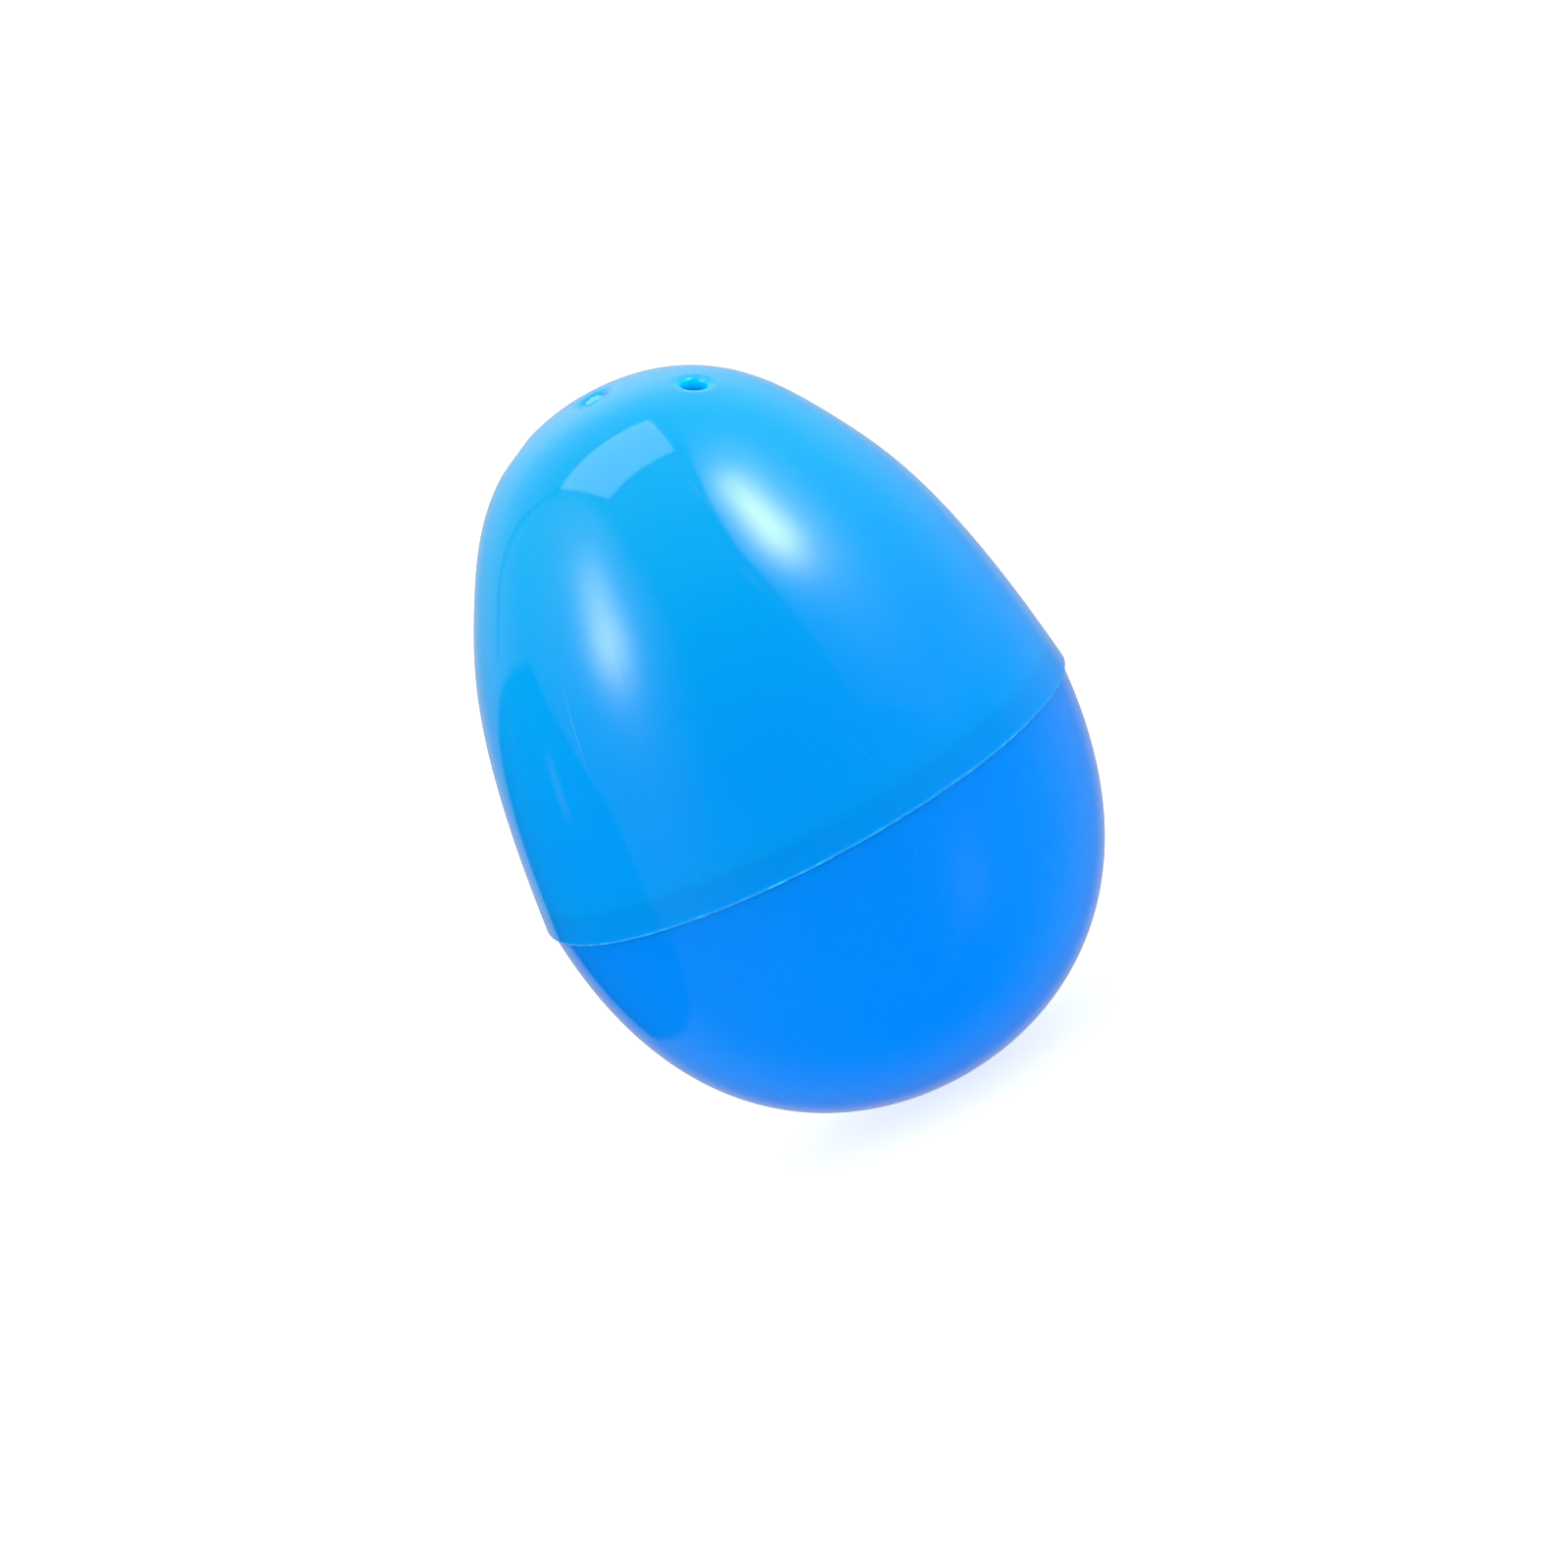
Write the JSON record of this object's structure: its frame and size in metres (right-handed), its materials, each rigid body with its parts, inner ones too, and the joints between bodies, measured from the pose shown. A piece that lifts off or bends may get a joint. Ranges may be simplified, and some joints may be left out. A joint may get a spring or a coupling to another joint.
{
  "type": "egg shaker",
  "caption": "Egg-shaped hand shaker in glossy moulded plastic: two hollow shells closed at a stepped snap rim round loose steel pellets, with a gate dimple and vent holes at the narrow end.",
  "frame": {"origin": "centre of the flat land under the blunt end, on the surface the egg stands on", "axes": "+Z along the egg's axis towards the narrow end; the two vent holes lie on the X axis either side of the narrow end's pole"},
  "size_m": [0.0484, 0.0484, 0.0646],
  "materials": {
    "upper_plastic": "smooth glossy, slightly translucent",
    "lower_plastic": "smooth glossy, slightly translucent",
    "pellet_steel": "bright tumbled steel"
  },
  "bodies": {
    "lower_shell": {"lower_shell": "lower_plastic"},
    "upper_shell": {"upper_shell": "upper_plastic"},
    "pellet_01": {"pellet_01": "pellet_steel"},
    "pellet_02": {"pellet_02": "pellet_steel"},
    "pellet_03": {"pellet_03": "pellet_steel"},
    "pellet_04": {"pellet_04": "pellet_steel"},
    "pellet_05": {"pellet_05": "pellet_steel"},
    "pellet_06": {"pellet_06": "pellet_steel"},
    "pellet_07": {"pellet_07": "pellet_steel"},
    "pellet_08": {"pellet_08": "pellet_steel"},
    "pellet_09": {"pellet_09": "pellet_steel"},
    "pellet_10": {"pellet_10": "pellet_steel"},
    "pellet_11": {"pellet_11": "pellet_steel"},
    "pellet_12": {"pellet_12": "pellet_steel"},
    "pellet_13": {"pellet_13": "pellet_steel"},
    "pellet_14": {"pellet_14": "pellet_steel"},
    "pellet_15": {"pellet_15": "pellet_steel"},
    "pellet_16": {"pellet_16": "pellet_steel"},
    "pellet_17": {"pellet_17": "pellet_steel"},
    "pellet_18": {"pellet_18": "pellet_steel"},
    "pellet_19": {"pellet_19": "pellet_steel"},
    "pellet_20": {"pellet_20": "pellet_steel"},
    "pellet_21": {"pellet_21": "pellet_steel"},
    "pellet_22": {"pellet_22": "pellet_steel"},
    "pellet_23": {"pellet_23": "pellet_steel"},
    "pellet_24": {"pellet_24": "pellet_steel"},
    "pellet_25": {"pellet_25": "pellet_steel"},
    "pellet_26": {"pellet_26": "pellet_steel"},
    "pellet_27": {"pellet_27": "pellet_steel"},
    "pellet_28": {"pellet_28": "pellet_steel"},
    "pellet_29": {"pellet_29": "pellet_steel"},
    "pellet_30": {"pellet_30": "pellet_steel"},
    "pellet_31": {"pellet_31": "pellet_steel"},
    "pellet_32": {"pellet_32": "pellet_steel"},
    "pellet_33": {"pellet_33": "pellet_steel"},
    "pellet_34": {"pellet_34": "pellet_steel"},
    "pellet_35": {"pellet_35": "pellet_steel"},
    "pellet_36": {"pellet_36": "pellet_steel"},
    "pellet_37": {"pellet_37": "pellet_steel"}
  },
  "joints": [
    {"name": "shell_pull", "type": "slide", "parent": "lower_shell", "child": "upper_shell", "axis": [0, 0, 1], "range_m": [0, 0.04]},
    {"name": "pellet_01_hop", "type": "slide", "parent": "lower_shell", "child": "pellet_01", "axis": [0, 0, 1], "range_m": [0, 0.0386]},
    {"name": "pellet_02_hop", "type": "slide", "parent": "lower_shell", "child": "pellet_02", "axis": [0, 0, 1], "range_m": [0, 0.0419]},
    {"name": "pellet_03_hop", "type": "slide", "parent": "lower_shell", "child": "pellet_03", "axis": [0, 0, 1], "range_m": [0, 0.0419]},
    {"name": "pellet_04_hop", "type": "slide", "parent": "lower_shell", "child": "pellet_04", "axis": [0, 0, 1], "range_m": [0, 0.0386]},
    {"name": "pellet_05_hop", "type": "slide", "parent": "lower_shell", "child": "pellet_05", "axis": [0, 0, 1], "range_m": [0, 0.0419]},
    {"name": "pellet_06_hop", "type": "slide", "parent": "lower_shell", "child": "pellet_06", "axis": [0, 0, 1], "range_m": [0, 0.0486]},
    {"name": "pellet_07_hop", "type": "slide", "parent": "lower_shell", "child": "pellet_07", "axis": [0, 0, 1], "range_m": [0, 0.0513]},
    {"name": "pellet_08_hop", "type": "slide", "parent": "lower_shell", "child": "pellet_08", "axis": [0, 0, 1], "range_m": [0, 0.0486]},
    {"name": "pellet_09_hop", "type": "slide", "parent": "lower_shell", "child": "pellet_09", "axis": [0, 0, 1], "range_m": [0, 0.0419]},
    {"name": "pellet_10_hop", "type": "slide", "parent": "lower_shell", "child": "pellet_10", "axis": [0, 0, 1], "range_m": [0, 0.0419]},
    {"name": "pellet_11_hop", "type": "slide", "parent": "lower_shell", "child": "pellet_11", "axis": [0, 0, 1], "range_m": [0, 0.0513]},
    {"name": "pellet_12_hop", "type": "slide", "parent": "lower_shell", "child": "pellet_12", "axis": [0, 0, 1], "range_m": [0, 0.0535]},
    {"name": "pellet_13_hop", "type": "slide", "parent": "lower_shell", "child": "pellet_13", "axis": [0, 0, 1], "range_m": [0, 0.0535]},
    {"name": "pellet_14_hop", "type": "slide", "parent": "lower_shell", "child": "pellet_14", "axis": [0, 0, 1], "range_m": [0, 0.0513]},
    {"name": "pellet_15_hop", "type": "slide", "parent": "lower_shell", "child": "pellet_15", "axis": [0, 0, 1], "range_m": [0, 0.0419]},
    {"name": "pellet_16_hop", "type": "slide", "parent": "lower_shell", "child": "pellet_16", "axis": [0, 0, 1], "range_m": [0, 0.0386]},
    {"name": "pellet_17_hop", "type": "slide", "parent": "lower_shell", "child": "pellet_17", "axis": [0, 0, 1], "range_m": [0, 0.0486]},
    {"name": "pellet_18_hop", "type": "slide", "parent": "lower_shell", "child": "pellet_18", "axis": [0, 0, 1], "range_m": [0, 0.0535]},
    {"name": "pellet_19_hop", "type": "slide", "parent": "lower_shell", "child": "pellet_19", "axis": [0, 0, 1], "range_m": [0, 0.0544]},
    {"name": "pellet_20_hop", "type": "slide", "parent": "lower_shell", "child": "pellet_20", "axis": [0, 0, 1], "range_m": [0, 0.0535]},
    {"name": "pellet_21_hop", "type": "slide", "parent": "lower_shell", "child": "pellet_21", "axis": [0, 0, 1], "range_m": [0, 0.0486]},
    {"name": "pellet_22_hop", "type": "slide", "parent": "lower_shell", "child": "pellet_22", "axis": [0, 0, 1], "range_m": [0, 0.0386]},
    {"name": "pellet_23_hop", "type": "slide", "parent": "lower_shell", "child": "pellet_23", "axis": [0, 0, 1], "range_m": [0, 0.0419]},
    {"name": "pellet_24_hop", "type": "slide", "parent": "lower_shell", "child": "pellet_24", "axis": [0, 0, 1], "range_m": [0, 0.0513]},
    {"name": "pellet_25_hop", "type": "slide", "parent": "lower_shell", "child": "pellet_25", "axis": [0, 0, 1], "range_m": [0, 0.0535]},
    {"name": "pellet_26_hop", "type": "slide", "parent": "lower_shell", "child": "pellet_26", "axis": [0, 0, 1], "range_m": [0, 0.0535]},
    {"name": "pellet_27_hop", "type": "slide", "parent": "lower_shell", "child": "pellet_27", "axis": [0, 0, 1], "range_m": [0, 0.0513]},
    {"name": "pellet_28_hop", "type": "slide", "parent": "lower_shell", "child": "pellet_28", "axis": [0, 0, 1], "range_m": [0, 0.0419]},
    {"name": "pellet_29_hop", "type": "slide", "parent": "lower_shell", "child": "pellet_29", "axis": [0, 0, 1], "range_m": [0, 0.0419]},
    {"name": "pellet_30_hop", "type": "slide", "parent": "lower_shell", "child": "pellet_30", "axis": [0, 0, 1], "range_m": [0, 0.0486]},
    {"name": "pellet_31_hop", "type": "slide", "parent": "lower_shell", "child": "pellet_31", "axis": [0, 0, 1], "range_m": [0, 0.0513]},
    {"name": "pellet_32_hop", "type": "slide", "parent": "lower_shell", "child": "pellet_32", "axis": [0, 0, 1], "range_m": [0, 0.0486]},
    {"name": "pellet_33_hop", "type": "slide", "parent": "lower_shell", "child": "pellet_33", "axis": [0, 0, 1], "range_m": [0, 0.0419]},
    {"name": "pellet_34_hop", "type": "slide", "parent": "lower_shell", "child": "pellet_34", "axis": [0, 0, 1], "range_m": [0, 0.0386]},
    {"name": "pellet_35_hop", "type": "slide", "parent": "lower_shell", "child": "pellet_35", "axis": [0, 0, 1], "range_m": [0, 0.0419]},
    {"name": "pellet_36_hop", "type": "slide", "parent": "lower_shell", "child": "pellet_36", "axis": [0, 0, 1], "range_m": [0, 0.0419]},
    {"name": "pellet_37_hop", "type": "slide", "parent": "lower_shell", "child": "pellet_37", "axis": [0, 0, 1], "range_m": [0, 0.0386]}
  ]
}
